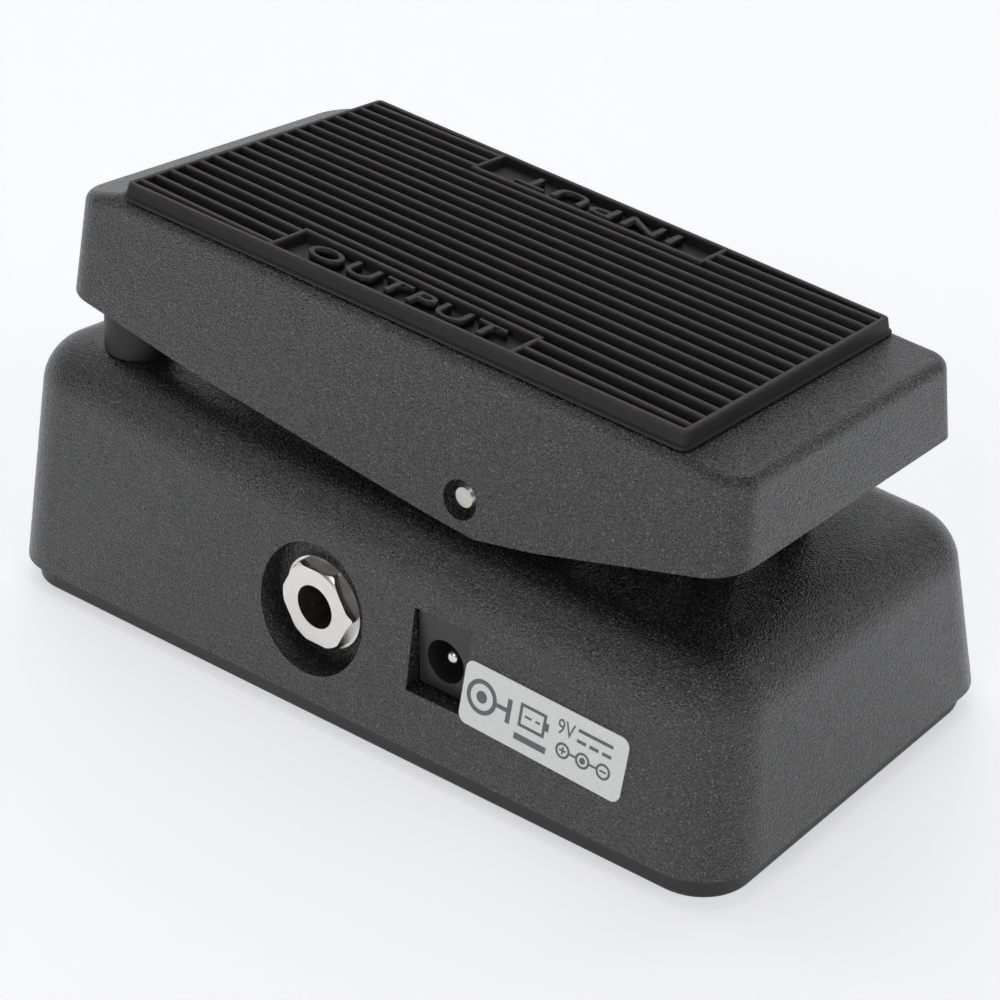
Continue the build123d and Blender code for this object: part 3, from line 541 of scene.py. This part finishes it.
def add_print(build, outline, hole=None):
    """Thin printed shape with an optional hole that has as many points as its outline."""
    levels = (-PRINT_SINK, PRINT_THICKNESS)
    outer = [[build.verts.new(on_label(u, d, up)) for u, d in outline] for up in levels]
    count = len(outline)
    for i in range(count):
        j = (i + 1) % count
        build.faces.new((outer[0][i], outer[0][j], outer[1][j], outer[1][i]))
    if hole is None:
        build.faces.new(outer[0])
        build.faces.new(outer[1])
        return
    inner = [[build.verts.new(on_label(u, d, up)) for u, d in hole] for up in levels]
    for i in range(count):
        j = (i + 1) % count
        build.faces.new((inner[0][i], inner[0][j], inner[1][j], inner[1][i]))
        for level in (0, 1):
            build.faces.new((outer[level][i], outer[level][j], inner[level][j], inner[level][i]))


def disc(u, d, radius, points=28):
    turn = 2 * math.pi / points
    return [(u + radius * math.cos(turn * i), d + radius * math.sin(turn * i)) for i in range(points)]


def bar(u_from, d_from, u_to, d_to):
    return [(u_from, d_from), (u_to, d_from), (u_to, d_to), (u_from, d_to)]


def ring(build, u, d, radius, stroke):
    add_print(build, disc(u, d, radius), disc(u, d, radius - stroke))


def frame_outline(build, u_from, d_from, u_to, d_to, stroke):
    inside = bar(u_from + stroke, d_from + stroke, u_to - stroke, d_to - stroke)
    add_print(build, bar(u_from, d_from, u_to, d_to), inside)


# bars of the print: left, top, right and bottom, from the label's top left corner
JACK_BARS = [(5.65, 4.0, 7.3, 4.6), (7.3, 2.6, 8.0, 6.0)]
BATTERY_BARS = [
    (13.5, 3.3, 14.0, 4.4), (10.2, 3.7, 11.3, 4.0), (11.9, 3.7, 12.6, 4.0), (9.0, 6.6, 14.1, 7.5),
]
DIRECT_CURRENT_BARS = [
    (18.4, 1.75, 23.7, 2.2), (18.4, 3.2, 19.8, 3.65), (20.35, 3.2, 21.75, 3.65), (22.3, 3.2, 23.7, 3.65),
]
POLARITY_BARS = [
    (17.7, 5.6, 18.6, 5.9), (20.8, 5.6, 21.8, 5.9),  # links
    (16.1, 5.62, 17.1, 5.88), (16.47, 5.25, 16.73, 5.62), (16.47, 5.88, 16.73, 6.25),  # plus
    (22.4, 5.62, 23.4, 5.88),  # minus
]
POLARITY_RINGS = (16.6, 19.7, 22.9)
POLARITY_LEVEL = 5.75


def label_print():
    """Plain marks for the sockets: a jack, a battery, and a direct-current supply diagram."""
    build = bmesh.new()
    ring(build, 3.2, 4.3, 2.45, 0.62)
    add_print(build, disc(3.2, 4.3, 0.85))
    frame_outline(build, 9.3, 2.2, 13.5, 5.5, 0.42)
    for u in POLARITY_RINGS:
        ring(build, u, POLARITY_LEVEL, 1.1, 0.32)
    add_print(build, disc(POLARITY_RINGS[1], POLARITY_LEVEL, 0.45))
    for corners in JACK_BARS + BATTERY_BARS + DIRECT_CURRENT_BARS + POLARITY_BARS:
        add_print(build, bar(*corners))
    marks = mesh_object("label_marks", build, "label_white", "base")
    digits = text_solid("9V")
    for vert in digits.verts:
        along, rise, up = vert.co
        above = up * (PRINT_THICKNESS + PRINT_SINK) - PRINT_SINK
        vert.co = on_label(15.3 + 2.6 * along, 3.7 - 2.1 * rise, above)
    rating = mesh_object("label_rating", digits, "label_white", "base")
    for piece in (marks, rating):
        piece.data.materials.clear()
        piece.data.materials.append(INK)


label_print()

# ================= stage =================


def add_floor():
    """White table that curves up behind, seen as one pale sweep."""
    mesh = bpy.data.meshes.new("floor")
    build = bmesh.new()
    profile = [(FLOOR_NEAR, 0.0), (BEND_FROM, 0.0)]
    for step in range(1, BEND_STEPS + 1):
        angle = math.pi / 2 * step / BEND_STEPS
        along = BEND_FROM + BEND_RADIUS * math.sin(angle)
        profile.append((along, BEND_RADIUS * (1 - math.cos(angle))))
    profile.append((BEND_FROM + BEND_RADIUS, FLOOR_TOP))
    rows = []
    for along, up in profile:
        rows.append([build.verts.new((side * FLOOR_HALF_WIDTH, along, up)) for side in (-1, 1)])
    for a, b in zip(rows, rows[1:]):
        build.faces.new((a[0], a[1], b[1], b[0]))
    build.to_mesh(mesh)
    build.free()
    floor = bpy.data.objects.new("floor", mesh)
    floor.rotation_euler = (0, 0, CAMERA_AZIMUTH)
    SCENE.collection.objects.link(floor)
    for polygon in mesh.polygons:
        polygon.use_smooth = True
    g = Graph("paper_sweep")
    tone = g.noise(900.0, 2.0)
    g.colour(g.ramp(tone, [(0.3, (0.83, 0.83, 0.85)), (0.7, (0.86, 0.86, 0.88))]))
    g.set(Roughness=0.75, Emission_Color=(0.985, 0.988, 1.0, 1.0), Emission_Strength=0.50)
    mesh.materials.append(g.material)


def add_softbox(name, azimuth, elevation, distance, side, power):
    """Square area light that faces the pedal from a direction round it."""
    data = bpy.data.lights.new(name, "AREA")
    data.shape = "RECTANGLE"
    data.size = side
    data.size_y = side
    data.energy = power
    light = bpy.data.objects.new(name, data)
    a, e = math.radians(azimuth), math.radians(elevation)
    back = Vector((math.sin(a) * math.cos(e), -math.cos(a) * math.cos(e), math.sin(e)))
    light.location = LIGHT_AIM + back * distance
    light.rotation_euler = back.to_track_quat("Z", "Y").to_euler()
    SCENE.collection.objects.link(light)


def add_lights():
    world = bpy.data.worlds.new("studio")
    world.use_nodes = True
    background = world.node_tree.nodes["Background"]
    background.inputs["Color"].default_value = (0.96, 0.97, 1.0, 1)
    background.inputs["Strength"].default_value = 0.14
    SCENE.world = world
    for softbox in SOFTBOXES:
        add_softbox(*softbox)


def add_camera():
    data = bpy.data.cameras.new("camera")
    data.lens = LENS
    data.sensor_width = SENSOR
    data.clip_start = 0.01
    flat = math.cos(CAMERA_ELEVATION)
    back = Vector((
        math.sin(CAMERA_AZIMUTH) * flat,
        -math.cos(CAMERA_AZIMUTH) * flat,
        math.sin(CAMERA_ELEVATION),
    ))
    right = Vector((0, 0, 1)).cross(back).normalized()
    up = back.cross(right)
    turn = Matrix((right, up, back)).transposed()
    turn = turn @ Matrix.Rotation(CAMERA_ROLL, 3, "Z")
    camera = bpy.data.objects.new("camera", data)
    camera.matrix_world = Matrix.Translation(CAMERA_AT) @ turn.to_4x4()
    SCENE.collection.objects.link(camera)
    SCENE.camera = camera


add_floor()
add_lights()
add_camera()

SCENE.view_settings.view_transform = "Standard"
